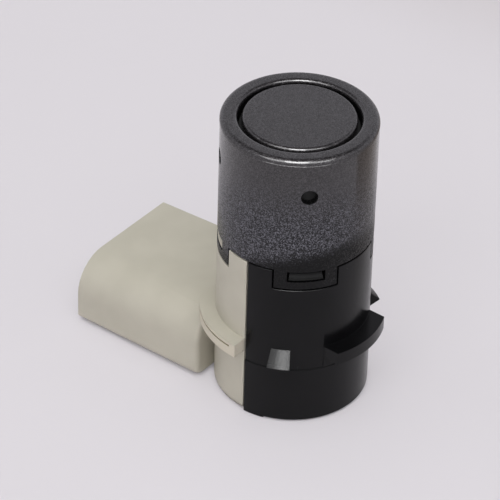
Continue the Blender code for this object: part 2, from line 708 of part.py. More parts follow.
def mouth_cavity():
    ends = (-MOUTH_FLOOR, -SHROUD_MOUTH - CUT_MARGIN)
    return loft("connector_mouth", [shroud_section(x, SHROUD_WALL, SHROUD_INNER_ROUND) for x in ends])


def pin_places():
    first = -(PIN_COUNT - 1) / 2 * PIN_PITCH
    return [first + i * PIN_PITCH for i in range(PIN_COUNT)]


def pin_slot(name, y):
    half_width = PIN_WIDTH / 2 + FIT_GAP
    half_height = PIN_THICKNESS / 2 + FIT_GAP
    low = (-MOUTH_FLOOR - CUT_MARGIN, y - half_width, PIN_HEIGHT - half_height)
    high = (-SHROUD_START + CUT_MARGIN, y + half_width, PIN_HEIGHT + half_height)
    return box(name, low, high)


def rail_outline(side):
    """A lip inside the wall that bridges the split and covers the seam from within."""
    inner = NECK_RADIUS - RAIL_WALL
    root = INNER_RADIUS + OVERLAP
    start = BOARD_FRONT + FIT_GAP
    step = start + RAIL_ROOT
    upper = [
        (start, chord_y(inner, start)),
        (RAIL_REACH, chord_y(inner, RAIL_REACH)),
        (RAIL_REACH, chord_y(NECK_RADIUS, RAIL_REACH)),
        (step, chord_y(NECK_RADIUS, step)),
        (step, chord_y(root, step)),
        (start, chord_y(root, start)),
    ]
    return [(x, side * y) for x, y in upper]


def guide_outline(side):
    """A rib behind the board's edge. Board and rib make a slot with the rail."""
    back = BOARD_REAR - FIT_GAP
    root = INNER_RADIUS + OVERLAP
    inner = chord_y(INNER_RADIUS, back) - GUIDE_REACH
    far = back - GUIDE_WIDTH
    outline = [(back, inner), (back, chord_y(root, back)), (far, chord_y(root, far)), (far, inner)]
    return [(x, side * y) for x, y in outline]


def make_connector_half():
    """The beige half: wall, floor, stop, board guides and the connector, moulded as one piece."""
    half = turned("connector_half", body_profile(BASE_LIFT, 0.0), "beige")
    cut(half, half_space("connector_half_split", 1))
    join(half, prism("floor", floor_outline(), BASE_LIFT, FLOOR_TOP))
    pad_top = FLOOR_TOP - OVERLAP
    join(half, disc("floor_pad", FLOOR_PAD_RADIUS, 0.0, pad_top, segments=INNER_SEGMENTS))
    cut_tongue_pockets(half, TONGUE_ANGLES[1:3])
    flat = BODY_RADIUS + STOP_FLAT_PROUD
    outline = stop_outline(STOP_RADIUS, flat, FIT_GAP / 2)
    join(half, prism("connector_half_stop", outline, STOP_BOTTOM, STOP_TOP))
    cut_stop_grooves(half, math.acos(flat / STOP_RADIUS))
    rail_bottom = FLOOR_TOP - OVERLAP
    rail_top = POCKET_STEP - RAIL_HEADROOM
    for number, side in enumerate((-1, 1), 1):
        join(half, prism(f"seam_rail_{number}", rail_outline(side), rail_bottom, rail_top))
        join(half, prism(f"board_guide_{number}", guide_outline(side), rail_bottom, rail_top))
    join(half, shroud_body())
    cut(half, mouth_cavity())
    for number, y in enumerate(pin_places(), 1):
        cut(half, pin_slot(f"pin_slot_{number}", y))
    return half


def cover_stop_outline(radius, steps=14):
    """The cover's stop: an arc whose ends are parallel to the way the mould opens."""
    half = COVER_STOP_WIDTH / 2
    inner = INNER_RADIUS + OVERLAP
    outer_end = math.asin(half / radius)
    inner_end = math.asin(half / inner)
    turns = [-1 + 2 * i / steps for i in range(steps + 1)]
    outer = [(radius * math.cos(outer_end * t), radius * math.sin(outer_end * t)) for t in turns]
    hollow = [(inner * math.cos(inner_end * t), inner * math.sin(inner_end * t)) for t in reversed(turns)]
    return outer + hollow


def make_cover_half():
    """The black half: wall, stop, two barbs for the bracket, and a foot beside each seam."""
    half = turned("cover_half", body_profile(0.0, PARTING_STEP), "black")
    cut(half, half_space("cover_half_split", -1))
    raised = ring_band(INNER_RADIUS - CUT_MARGIN, BODY_RADIUS + CUT_MARGIN, -CUT_MARGIN, FOOT_HEIGHT)
    cut(half, sector("foot_gap", raised, 0.0, HALF_TURN - 2 * FOOT_SWEEP))
    cut_tongue_pockets(half, (TONGUE_ANGLES[0], TONGUE_ANGLES[3]))
    join(half, prism("cover_stop", cover_stop_outline(STOP_RADIUS), STOP_BOTTOM, STOP_TOP))
    pad = cover_stop_outline(BODY_RADIUS + PARTING_STEP - JOIN_INSET)
    pad_bottom = PARTING_HEIGHT - PARTING_STEP - OVERLAP
    join(half, prism("cover_stop_pad", pad, pad_bottom, STOP_BOTTOM + OVERLAP))
    root = INNER_RADIUS + OVERLAP
    barb = [
        (root, BARB_TOP),
        (BODY_RADIUS, BARB_TOP),
        (BARB_RADIUS, BARB_TIP),
        (BARB_RADIUS, BARB_TIP - BARB_LAND),
        (BODY_RADIUS, PARTING_HEIGHT),
        (root, PARTING_HEIGHT),
    ]
    for number, angle in enumerate(BARB_ANGLES, 1):
        join(half, sector(f"barb_{number}", barb, angle, BARB_SWEEP))
    return half


def make_board():
    """The board stands on the floor, in the slots of the connector half, across the sensor."""
    low_half = chord_y(INNER_RADIUS - FIT_GAP, BOARD_REAR)
    high_half = chord_y(NECK_BORE - FIT_GAP, BOARD_REAR)
    outline = [
        (-low_half, BOARD_BOTTOM),
        (low_half, BOARD_BOTTOM),
        (low_half, BOARD_STEP),
        (high_half, BOARD_STEP),
        (high_half, BOARD_TOP),
        (-high_half, BOARD_TOP),
        (-high_half, BOARD_STEP),
        (-low_half, BOARD_STEP),
    ]
    curve = bpy.data.curves.new("board_outline", "CURVE")
    curve.dimensions = "2D"
    curve.fill_mode = "BOTH"
    curve.extrude = BOARD_THICKNESS / 2
    hole_radius = math.hypot(PIN_WIDTH, PIN_THICKNESS) / 2 + FIT_GAP + PIN_HOLE_MARGIN
    turns = [FULL_TURN * i / HOLE_SEGMENTS for i in range(HOLE_SEGMENTS)]
    outlines = [outline]
    for y in pin_places():
        hole = [(hole_radius * math.cos(a), hole_radius * math.sin(a)) for a in turns]
        outlines.append([(y + u, PIN_HEIGHT + v) for u, v in hole])
    for points in outlines:
        spline = curve.splines.new("POLY")
        spline.points.add(len(points) - 1)
        spline.use_cyclic_u = True
        for point, (u, v) in zip(spline.points, points):
            point.co = (u, v, 0.0, 1.0)
    drawn = bpy.data.objects.new("board_outline", curve)
    SENSOR.objects.link(drawn)
    # The outline's X becomes Y and its Y becomes Z.
    stand = Matrix(((0, 0, 1, -BOARD_CENTRE), (1, 0, 0, 0), (0, 1, 0, 0), (0, 0, 0, 1)))
    drawn.matrix_world = stand
    bpy.context.view_layer.update()
    graph = bpy.context.evaluated_depsgraph_get()
    mesh = bpy.data.meshes.new_from_object(drawn.evaluated_get(graph))
    bpy.data.objects.remove(drawn, do_unlink=True)
    bm = bmesh.new()
    bm.from_mesh(mesh)
    bmesh.ops.remove_doubles(bm, verts=bm.verts, dist=0.000001)
    bmesh.ops.transform(bm, matrix=stand, verts=bm.verts)
    return add_object("circuit_board", mesh_of(bm, "circuit_board"), "board")


def make_pin(number, y):
    """A straight contact from the mouth through the wall and the board, with tapered tips."""
    tip = -(SHROUD_MOUTH - PIN_SINK)
    tail = BOARD_FRONT + PIN_TAIL

    def section(x, share):
        w, t = PIN_WIDTH / 2 * share, PIN_THICKNESS / 2 * share
        return [(x, y + a * w, PIN_HEIGHT + b * t) for a, b in ((-1, -1), (1, -1), (1, 1), (-1, 1))]

    stations = [(tip, 0.5), (tip + PIN_TAPER, 1.0), (tail - PIN_TAPER / 2, 1.0), (tail, 0.7)]
    return loft(f"contact_pin_{number}", [section(x, share) for x, share in stations], "tin")


def along_x(made, x, y, z):
    """Turns a piece that was made along Z so that it points to +X."""
    made.matrix_world = Matrix.Translation((x, y, z)) @ Matrix.Rotation(math.pi / 2, 4, "Y")
    return made


def make_core_half(name, plate_x, direction, height):
    """A plate with a round centre post and two side walls: half of the transformer's core."""
    reach = (BOBBIN_LENGTH + FIT_GAP) / 2
    face = plate_x + direction * CORE_PLATE
    tip = face + direction * reach
    side_y = CORE_WIDTH / 2

    def block(label, across_x, across_y, inset=0.0, material=None):
        half_height = CORE_HEIGHT / 2 - inset
        low = (min(across_x), min(across_y), height - half_height)
        high = (max(across_x), max(across_y), height + half_height)
        return box(label, low, high, material)

    core = block(name, (plate_x, face), (-side_y, side_y), material="ferrite")
    root = face - direction * CORE_PLATE / 2
    for number, side in enumerate((-1, 1), 1):
        across_y = (side * (side_y - JOIN_INSET), side * (side_y - CORE_SIDE))
        join(core, block(f"{name}_wall_{number}", (root, tip), across_y, JOIN_INSET))
    length = abs(tip - root)
    post = disc(f"{name}_post", CORE_POST_RADIUS, -length / 2, length / 2, segments=SMALL_SEGMENTS)
    along_x(post, (root + tip) / 2, 0.0, height)
    return join(core, post)


def make_transformer():
    """Bobbin, winding and two core halves, standing off the board's front."""
    height = TRANSFORMER_Z
    rear = PART_FRONT
    bobbin_start = rear + CORE_PLATE + FIT_GAP
    front = bobbin_start + BOBBIN_LENGTH + FIT_GAP + CORE_PLATE
    make_core_half("transformer_core_rear", rear, 1, height)
    make_core_half("transformer_core_front", front, -1, height)
    half = BOBBIN_LENGTH / 2
    bore = CORE_POST_RADIUS + FIT_GAP
    hub = bore + BOBBIN_TUBE
    bobbin_profile = [
        (bore, half),
        (BOBBIN_RADIUS, half),
        (BOBBIN_RADIUS, half - BOBBIN_FLANGE),
        (hub, half - BOBBIN_FLANGE),
        (hub, BOBBIN_FLANGE - half),
        (BOBBIN_RADIUS, BOBBIN_FLANGE - half),
        (BOBBIN_RADIUS, -half),
        (bore, -half),
    ]
    middle = bobbin_start + half
    bobbin = turned("transformer_bobbin", bobbin_profile, "black", segments=SMALL_SEGMENTS)
    along_x(bobbin, middle, 0.0, height)
    wound = half - BOBBIN_FLANGE - FIT_GAP
    section = ring_band(hub + FIT_GAP, BOBBIN_RADIUS - WINDING_INSET, -wound, wound)
    winding = turned("transformer_winding", section, "copper", segments=SMALL_SEGMENTS)
    along_x(winding, middle, 0.0, height)


def make_storage_capacitor():
    """A small can with a crimped foot, standing off the board's front."""
    crimp_z = CAPACITOR_CRIMP_HEIGHT
    profile = [
        (0.0, CAPACITOR_LENGTH),
        (CAPACITOR_RADIUS - CAPACITOR_CRIMP, CAPACITOR_LENGTH),
        (CAPACITOR_RADIUS, CAPACITOR_LENGTH - CAPACITOR_CRIMP),
        (CAPACITOR_RADIUS, crimp_z + CAPACITOR_CRIMP),
        (CAPACITOR_RADIUS - CAPACITOR_CRIMP, crimp_z),
        (CAPACITOR_RADIUS, crimp_z - CAPACITOR_CRIMP),
        (CAPACITOR_RADIUS, 0.0),
        (0.0, 0.0),
    ]
    can = turned("storage_capacitor", profile, "aluminium", closed=False, segments=SMALL_SEGMENTS)
    return along_x(can, PART_FRONT, CAPACITOR_Y, CAPACITOR_Z)


def add_leg(bm, outline, y, side, foot_x):
    """One bent leg, from the chip's side down to the board's rear face."""
    low, high = y - LEG_WIDTH / 2, y + LEG_WIDTH / 2
    rings = [
        [bm.verts.new((foot_x - h, py, CHIP_Z + side * u)) for u, h in outline] for py in (low, high)
    ]
    count = len(outline)
    for i in range(count):
        j = (i + 1) % count
        bm.faces.new((rings[0][i], rings[0][j], rings[1][j], rings[1][i]))
    bm.faces.new(rings[0])
    bm.faces.new(list(reversed(rings[1])))


def make_control_chip():
    """The control chip on the board's rear: a body with two rows of bent legs."""
    foot = BOARD_REAR - FIT_GAP
    low = (foot - CHIP_HEIGHT, -CHIP_LENGTH / 2, CHIP_Z - CHIP_WIDTH / 2)
    high = (foot - CHIP_STANDOFF, CHIP_LENGTH / 2, CHIP_Z + CHIP_WIDTH / 2)
    chip = box("control_chip", low, high, "chip", EDGE_BEVEL)
    edge = CHIP_WIDTH / 2
    level = CHIP_HEIGHT / 2
    knee = edge + LEG_REACH / 2
    tip = edge + LEG_REACH
    t = LEG_THICKNESS
    outline = [
        (edge - OVERLAP, level),
        (knee, level),
        (knee, t),
        (tip, t),
        (tip, 0.0),
        (knee - t, 0.0),
        (knee - t, level - t),
        (edge - OVERLAP, level - t),
    ]
    bm = bmesh.new()
    first = -(LEG_COUNT - 1) / 2 * LEG_PITCH
    for i in range(LEG_COUNT):
        for side in (-1, 1):
            add_leg(bm, outline, first + i * LEG_PITCH, side, foot)
    return join(chip, add_object("chip_legs", mesh_of(bm, "chip_legs")))


def make_small_part(name, size, y, z, side):
    """A small block on one side of the board. The resonator is a metal can, the rest are moulded."""
    length, width, height = (s * MM for s in size)
    material = "chip"
    if name.startswith("ceramic"):
        material = "ceramic"
    elif name == "resonator":
        material = "tin"
    across_x = (PART_FRONT, PART_FRONT + height)
    if side == "rear":
        across_x = (BOARD_REAR - FIT_GAP - height, BOARD_REAR - FIT_GAP)
    low = (across_x[0], y - length / 2, z - width / 2)
    high = (across_x[1], y + length / 2, z + width / 2)
    return box(name, low, high, material, EDGE_BEVEL)


def make_sensor():
    make_sleeve()
    make_membrane_cup()
    make_decoupling_ring()
    make_carrier()
    make_damping_pad()
    disc("piezo_disc", PIEZO_RADIUS, PIEZO_BOTTOM, PIEZO_TOP, "ceramic", segments=48)
    for name, (x, y) in zip(("piezo_lead_signal", "piezo_lead_return"), lead_places()):
        make_lead(name, x, y)
    make_connector_half()
    make_cover_half()
    make_board()
    for number, y in enumerate(pin_places(), 1):
        make_pin(number, y)
    make_transformer()
    make_storage_capacitor()
    make_control_chip()
    for name, sizes in SMALL_PARTS.items():
        make_small_part(name, *sizes)


make_sensor()
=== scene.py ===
"""Finish, light and camera for the parking sensor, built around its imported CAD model."""

import math

import bpy
from mathutils import Matrix, Vector


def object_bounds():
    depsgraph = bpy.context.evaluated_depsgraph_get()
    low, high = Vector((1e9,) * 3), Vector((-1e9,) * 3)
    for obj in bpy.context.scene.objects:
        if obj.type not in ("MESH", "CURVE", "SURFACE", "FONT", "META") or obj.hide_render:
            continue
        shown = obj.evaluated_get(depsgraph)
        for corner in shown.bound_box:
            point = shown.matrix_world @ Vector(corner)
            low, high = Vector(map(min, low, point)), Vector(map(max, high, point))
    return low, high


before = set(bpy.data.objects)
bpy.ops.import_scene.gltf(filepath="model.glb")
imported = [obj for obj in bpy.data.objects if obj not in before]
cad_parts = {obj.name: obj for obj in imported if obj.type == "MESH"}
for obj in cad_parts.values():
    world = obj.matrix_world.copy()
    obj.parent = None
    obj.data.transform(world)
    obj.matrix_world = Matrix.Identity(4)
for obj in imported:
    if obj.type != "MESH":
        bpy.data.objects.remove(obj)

MM = 0.001
CAD_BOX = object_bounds()

# The photograph's camera. It stands to the -Y side of the sensor, turned round its axis.
CAMERA_TURN = 36.8
CAMERA_SIDE = -7.02 * MM
CAMERA_BACK = 439.13 * MM
CAMERA_HEIGHT = 353.36 * MM
CAMERA_ELEVATION = 36.844
CAMERA_ROLL = 1.681
CAMERA_LENS = 252.0
CAMERA_SENSOR = 36.0
CAMERA_CLIP = (0.02, 100.0)

# Paper, and beyond it a sheet that shows only in reflections, as painted shade. Colours here and below are
# sRGB, from 0 to 255.
FLOOR_SIZE = 12.0
FLOOR_COLOUR = (219, 215, 219)
FLOOR_CLOUD_COLOUR = (220, 216, 220)
FLOOR_CLOUD_SIZE = 80 * MM
FLOOR_GLOW = 0.58
CONTACT_REACH = 0.9 * MM
# Between these two places along Y, the paper turns darker, a painted shade where the light falls off far
# behind the sensor.
FLOOR_SHADE_PLACES = (85 * MM, 135 * MM)
FLOOR_SHADE_COLOUR = (204, 198, 200)
# A glowing sheet, seen only in reflections, gives the head's right flank a darker painted reflection.
REFLECTION_SHEET_COLOUR = (153, 140, 130)
REFLECTION_SHEET_PLACE = (92 * MM, 60 * MM)
REFLECTION_SHEET_SIZE = (120 * MM, 130 * MM)
REFLECTION_SHEET_LIFT = 0.1 * MM
# The sheet's painted shade begins softly, between these two places as shares of its width.
REFLECTION_SHEET_SOFT_EDGE = (-0.5, -0.1)

# Surroundings
SCREEN_COLOUR = (222, 220, 227)
ROOM_COLOUR = (20, 20, 22)
# The screens end softly, between these two heights as sines of the elevation.
SCREEN_END = (0.5, 0.85)

# Lamps, whose turn is counted from the camera's
KEY_TURN = -6.0
KEY_ELEVATION = 52.0
KEY_DISTANCE = 0.5
KEY_SIZE = (0.5, 0.14)
KEY_POWER = 0.96
TOP_HEIGHT = 0.9
TOP_SIZE = (0.9, 0.9)
TOP_POWER = 4.9
GLOSS_TURN = -1.0
GLOSS_ELEVATION = 49.0
GLOSS_DISTANCE = 0.5
GLOSS_SIZE = (0.8, 0.26)
GLOSS_POWER = 3.9
CORE_DISTANCE = 0.48
CORE_SIZE = (0.2, 0.25)
CORE_POWER = 2.3

# Shading of the CAD solids
WELD_DISTANCE = 0.002 * MM
SHARP_ANGLE = 32.0
EDGE_RADIUS = 0.09 * MM
PAINT_EDGE_RADIUS = 0.03 * MM
BLACK_EDGE_RADIUS = 0.12 * MM

# The range of a noise, from 0 to 1, that a pattern is drawn from
CLOUD_RANGE = (0.3, 0.7)
WEAR_RANGE = (0.35, 0.7)
BLOOM_RANGE = (0.4, 0.75)
GRAIN_RANGE = (0.35, 0.65)

# Moulded plastic. Of a pair of colours, the second is what clouds or a grain give the first.
CLOUD_SIZE = 6.0 * MM
WEAR_SIZE = 2.5 * MM
WEAR_SHARES = (0.88, 1.15)
MOULD_GRAIN_SIZE = 0.14 * MM
MOULD_GRAIN_DEPTH = 0.004 * MM
DUST_SPACING = 1.3 * MM
DUST_RADIUS = 0.05 * MM
DUST_CORE = 0.6
DUST_SHARE = 0.25
CHIP_COLOURS = ((28, 28, 30), (38, 38, 40))
CHIP_ROUGHNESS = 0.55
WIRE_SLEEVE_COLOURS = ((158, 40, 34), (140, 34, 30))
WIRE_SLEEVE_ROUGHNESS = 0.4

# The black half, by height, by side and by distance from the axis
BLACK_COLOURS = ((12, 12, 13), (15, 15, 16))
BLACK_ROUGHNESS = (0.19, 0.25)
BLACK_DUST = (120, 118, 116)
BLACK_GLOSS = 0.17
PARTING_BAND = (10.2 * MM, 10.42 * MM)
# The parting line is painted darker, as painted shade under its small step.
PARTING_SHADE_COLOUR = (4, 4, 5)
PARTING_ROUGHNESS = 1.0
LUG_BAND = (27.35 * MM, 29.2 * MM)
LUG_ROUGHNESS = 0.85
LEDGE_START = 25.64 * MM
LEDGE_RADIUS = 12.1 * MM
LEDGE_ROUND = 0.17 * MM
# A diagonal is X times Y, which is large only midway between those axes, where the tongues are.
LUG_DIAGONAL = 57.0 * MM * MM
LEDGE_DIAGONAL = 50.0 * MM * MM
BARB_BAND = (12.0 * MM, 14.16 * MM)
BARB_RADIUS = 12.3 * MM
BARB_SIDE = 9.0 * MM
BARB_ANGLE = 61.7
BARB_CURVE = 12.0 * MM
BARB_PIT_SIZE = 0.36 * MM
BARB_PIT_DEPTH = 0.028 * MM
BARB_ROUGHNESS = 0.26

# The beige half, by height, by side and by distance from the axis
BEIGE_COLOURS = ((187, 183, 168), (182, 178, 163))
BEIGE_ROUGHNESS = (0.44, 0.57)
BEIGE_DUST = (150, 138, 120)
BEIGE_GLOSS = 0.12
STOP_BAND = (12.1 * MM, 14.3 * MM)
STOP_RADII = (12.4 * MM, 14.95 * MM)
STOP_SIDES = (9.0 * MM, 11.0 * MM)
# The stop is painted paler, as painted light where it stands out and catches the lamps.
STOP_PAINTED_LIGHT_COLOUR = (200, 193, 175)
GROOVE_BAND = (13.58 * MM, 13.92 * MM)
GROOVE_RADII = (14.3 * MM, 14.76 * MM)
GROOVE_END = -0.6 * MM
# The stop's fine groove is painted darker, as painted shade inside the cut.
GROOVE_SHADE_COLOUR = (158, 148, 124)
FOOT_TOP = 0.95 * MM
FOOT_ROUND = 0.25 * MM

# Metallic paint. A flake has its size, and the share of the flakes that stay dark.
SMOOTH_COLOURS = ((30, 28, 29), (68, 66, 68))
SMOOTH_FLAKE = (0.12 * MM, 0.3)
GRITTY_COLOURS = ((24, 24, 27), (108, 108, 115))
GRITTY_FLAKE = (0.14 * MM, 0.4)
TIPPED_FLAKE_SIZE = 0.15 * MM
FLAKE_TIP = 0.5
PAINT_METALLIC = 0.6
PAINT_ROUGHNESS = 0.5
PAINT_GLOSS = 0.17
COAT_ROUGHNESS = 0.14
PEEL_SIZE = 0.5 * MM
PEEL_DEPTH = 0.003 * MM
DRY_SPRAY_TOP = 48.5 * MM
DRY_SPRAY_BOTTOM = 35.0 * MM
DRY_SPRAY_COAT_LOSS = 0.6

# Where the paint on the head fades out, by height and by side
HEAD_RADIUS = 12.25 * MM
PAINT_DEPTH = 0.25 * MM
PAINTED_BORE = 49.6 * MM
FADE_HEIGHT = 29.2 * MM
FADE_TILT = 4.2 * MM
FADE_TURN = -11.0
FADE_REACH = 1.3 * MM
# The size of the clouds and droplets along the edge, and how far they shift it.
EDGE_CLOUD = (1.6 * MM, 1.2 * MM)
EDGE_DROPLET = (0.16 * MM, 1.6 * MM)
BARE_HEAD_COLOUR = (9, 9, 10)
BARE_HEAD_ROUGHNESS = 0.34

# The small and the inner pieces. Pits have a size and a depth.
SILICONE_COLOURS = ((10, 10, 10), (17, 17, 18))
SILICONE_ROUGHNESS = 0.62
SILICONE_PITS = (0.2 * MM, 0.006 * MM)
BLOOM_SIZE = 1.2 * MM
GRAIN_STEEPNESS = 0.15
CERAMIC_COLOURS = ((206, 198, 178), (188, 180, 160))
FOAM_COLOURS = ((104, 104, 106), (140, 140, 142))
FERRITE_COLOURS = ((52, 52, 56), (72, 72, 76))
TIN_COLOURS = ((218, 216, 210), (192, 190, 184))
CAN_COLOURS = ((222, 222, 224), (204, 204, 208))
METAL_WEAR_SHARES = (0.8, 1.3)
METAL_PITS = (0.1 * MM, 0.002 * MM)
# Dark between the turns and bright on their crests: painted shade and highlight.
COPPER_SHADE_AND_HIGHLIGHT_COLOURS = ((92, 38, 16), (196, 104, 56))
COPPER_TURN = 0.16 * MM
COPPER_RIDGE = 0.03 * MM
LACQUER_COLOURS = ((16, 84, 52), (30, 116, 70))
TRACK_SPACING = 2.6 * MM
TRACK_GAP = 0.045
TRACK_DEPTH = 0.02 * MM

# Linear colours, as a node takes them
WHITE = (1.0, 1.0, 1.0, 1.0)
BLACK = (0.0, 0.0, 0.0, 1.0)


# Node helpers

def rgba(colour):
    """An sRGB colour of 0 to 255 as the linear values that a node takes, with an alpha of 1."""
    shares = [c / 255 for c in colour]
    return (*(s / 12.92 if s <= 0.04045 else ((s + 0.055) / 1.055) ** 2.4 for s in shares), 1.0)


def add(tree, kind, inputs=None, **settings):
    """A node of that kind. An input is a plain value, or another node's output, which is linked."""
    node = tree.nodes.new(kind)
    for name, value in settings.items():
        setattr(node, name, value)
    for name, value in (inputs or {}).items():
        if isinstance(value, bpy.types.NodeSocket):
            tree.links.new(value, node.inputs[name])
        else:
            node.inputs[name].default_value = value
    return node


def maths(tree, operation, *values):
    """A Math node's output."""
    return add(tree, "ShaderNodeMath", dict(enumerate(values)), operation=operation).outputs[0]


def product(tree, total, *others):
    """The product of the values."""
    for value in others:
        total = maths(tree, "MULTIPLY", total, value)
    return total


def excess(tree, value, limit):
    """How far value is above limit, and 0 where it is below."""
    return maths(tree, "MAXIMUM", maths(tree, "SUBTRACT", value, limit), 0.0)


def band(tree, value, low, high):
    """1 where value is between low and high, and 0 elsewhere."""
    return product(tree, maths(tree, "GREATER_THAN", value, low), maths(tree, "LESS_THAN", value, high))


def spread(tree, value, low, high, start=0.0, end=1.0):
    """value, smoothly mapped from low..high to start..end."""
    inputs = {"Value": value, "From Min": low, "From Max": high, "To Min": start, "To Max": end}
    return add(tree, "ShaderNodeMapRange", inputs, interpolation_type="SMOOTHSTEP").outputs["Result"]


def centred(tree, value, width):
    """value, which goes from 0 to 1, mapped to a span of that width round zero."""
    return maths(tree, "MULTIPLY_ADD", value, width, -width / 2)


def mix(tree, factor, first, second):
    """A colour between first and second, each a node's output or an sRGB colour."""
    first, second = (c if isinstance(c, bpy.types.NodeSocket) else rgba(c) for c in (first, second))
    return add(tree, "ShaderNodeMix", {0: factor, 6: first, 7: second}, data_type="RGBA").outputs[2]


def channel(tree, colour, name):
    """One channel of the colour."""
    return add(tree, "ShaderNodeSeparateColor", {"Color": colour}).outputs[name]


def place(tree):
    """The point's place in its object's own frame, which for a CAD solid is the part's, in metres."""
    return add(tree, "ShaderNodeTexCoord").outputs["Object"]


def axes_and_radius(tree):
    """The point's X, Y and Z, and its distance from the sensor's axis."""
    axes = add(tree, "ShaderNodeSeparateXYZ", {"Vector": place(tree)}).outputs
    flat = add(tree, "ShaderNodeCombineXYZ", {"X": axes["X"], "Y": axes["Y"]}).outputs[0]
    return axes, add(tree, "ShaderNodeVectorMath", {0: flat}, operation="LENGTH").outputs["Value"]


def noise(tree, size, detail=3.0, roughness=0.5):
    """Noise whose features are about that size."""
    inputs = {"Vector": place(tree), "Scale": 1 / size, "Detail": detail, "Roughness": roughness}
    return add(tree, "ShaderNodeTexNoise", inputs).outputs[0]


def cells(tree, size):
    """Cells of about that size: the distance from each cell's middle, and a random colour for each."""
    found = add(tree, "ShaderNodeTexVoronoi", {"Vector": place(tree), "Scale": 1 / size})
    return found.outputs["Distance"], found.outputs["Color"]


def relief(tree, height, depth=1.0, edges=EDGE_RADIUS):
    """The normal of a surface with that height map, times depth in metres, on slightly rounded edges."""
    rounded = add(tree, "ShaderNodeBevel", {"Radius": edges}, samples=4).outputs["Normal"]
    inputs = {"Height": height, "Distance": depth, "Strength": 1.0, "Normal": rounded}
    return add(tree, "ShaderNodeBump", inputs).outputs["Normal"]


def pitted(tree, size, depth):
    """The normal of a surface with fine pits."""
    return relief(tree, noise(tree, size), depth)


def roll_off(tree, reach, radius):
    """The height of a surface that bends away with that radius, at that reach from where it starts."""
    return product(tree, reach, reach, -1 / (2 * radius))


def fresh_tree(material):
    """The material's node tree, emptied, with a Principled shader on its output."""
    material.use_nodes = True
    tree = material.node_tree
    tree.nodes.clear()
    shader = tree.nodes.new("ShaderNodeBsdfPrincipled")
    output = tree.nodes.new("ShaderNodeOutputMaterial")
    tree.links.new(shader.outputs["BSDF"], output.inputs["Surface"])
    return tree, shader


def dress(tree, shader, **inputs):
    """Sets the shader's inputs. An underscore in a name stands for a space."""
    for name, value in inputs.items():
        found = shader.inputs[name.replace("_", " ")]
        if isinstance(value, bpy.types.NodeSocket):
            tree.links.new(value, found)
        else:
            found.default_value = value


# Moulded plastic

def clouded(tree, colours):
    """The first colour, with faint clouds of the second."""
    return mix(tree, spread(tree, noise(tree, CLOUD_SIZE, detail=2.0), *CLOUD_RANGE), *colours)


def dusty(tree, base, dust):
    """The base with a speck of dust in some of its cells."""
    distance, colour = cells(tree, DUST_SPACING)
    edge = DUST_RADIUS / DUST_SPACING
    speck = spread(tree, distance, edge * DUST_CORE, edge, 1.0, 0.0)
    chosen = maths(tree, "LESS_THAN", channel(tree, colour, "Red"), DUST_SHARE)
    return mix(tree, product(tree, speck, chosen), base, dust)


def worn(tree, smoothest, roughest):
    """A roughness that varies from patch to patch."""
    patches = noise(tree, WEAR_SIZE, detail=4.0, roughness=0.6)
    return spread(tree, patches, *WEAR_RANGE, smoothest, roughest)


def moulded_grain(tree):
    """The height of a fine grain."""
    return product(tree, noise(tree, MOULD_GRAIN_SIZE, detail=2.0, roughness=0.6), MOULD_GRAIN_DEPTH)


def moulded_plastic(material, colours, roughness):
    """Plain moulded plastic: faint clouds in the colour and a fine grain."""
    tree, shader = fresh_tree(material)
    dress(
        tree, shader, Base_Color=clouded(tree, colours),
        Roughness=worn(tree, *(roughness * share for share in WEAR_SHARES)),
        Normal=relief(tree, moulded_grain(tree)),
    )


# The black half

def diagonal(tree, axes):
    """X times Y, without its sign."""
    return maths(tree, "ABSOLUTE", product(tree, axes["X"], axes["Y"]))


def lug_places(tree, axes):
    """1 on the lugs in the tongues' windows, and 0 elsewhere."""
    aside = maths(tree, "GREATER_THAN", diagonal(tree, axes), LUG_DIAGONAL)
    return product(tree, aside, band(tree, axes["Z"], *LUG_BAND))


def ledge_roll(tree, axes, radius):
    """The height of the rounded edge under each tongue, which falls away towards the top."""
    aside = maths(tree, "GREATER_THAN", diagonal(tree, axes), LEDGE_DIAGONAL)
    outside = maths(tree, "GREATER_THAN", radius, LEDGE_RADIUS)
    return product(tree, aside, outside, roll_off(tree, excess(tree, axes["Z"], LEDGE_START), LEDGE_ROUND))


def barb_places(tree, axes, radius):
    """1 on the slopes of the barbs, whose mould was spark eroded, and 0 elsewhere."""
    beside = maths(tree, "GREATER_THAN", maths(tree, "ABSOLUTE", axes["Y"]), BARB_SIDE)
    outside = maths(tree, "GREATER_THAN", radius, BARB_RADIUS)
    return product(tree, beside, outside, band(tree, axes["Z"], *BARB_BAND))


def barb_relief(tree, axes):
    """The height of the pits on a barb's slope, and of a crown that bends it round the sensor's axis."""
    turn = math.radians(BARB_ANGLE)
    ahead = product(tree, axes["X"], math.sin(turn))
    aside = product(tree, maths(tree, "ABSOLUTE", axes["Y"]), math.cos(turn))
    crown = roll_off(tree, maths(tree, "SUBTRACT", ahead, aside), BARB_CURVE)
    pits = product(tree, noise(tree, BARB_PIT_SIZE, detail=1.0, roughness=0.6), BARB_PIT_DEPTH)
    return maths(tree, "ADD", pits, crown)


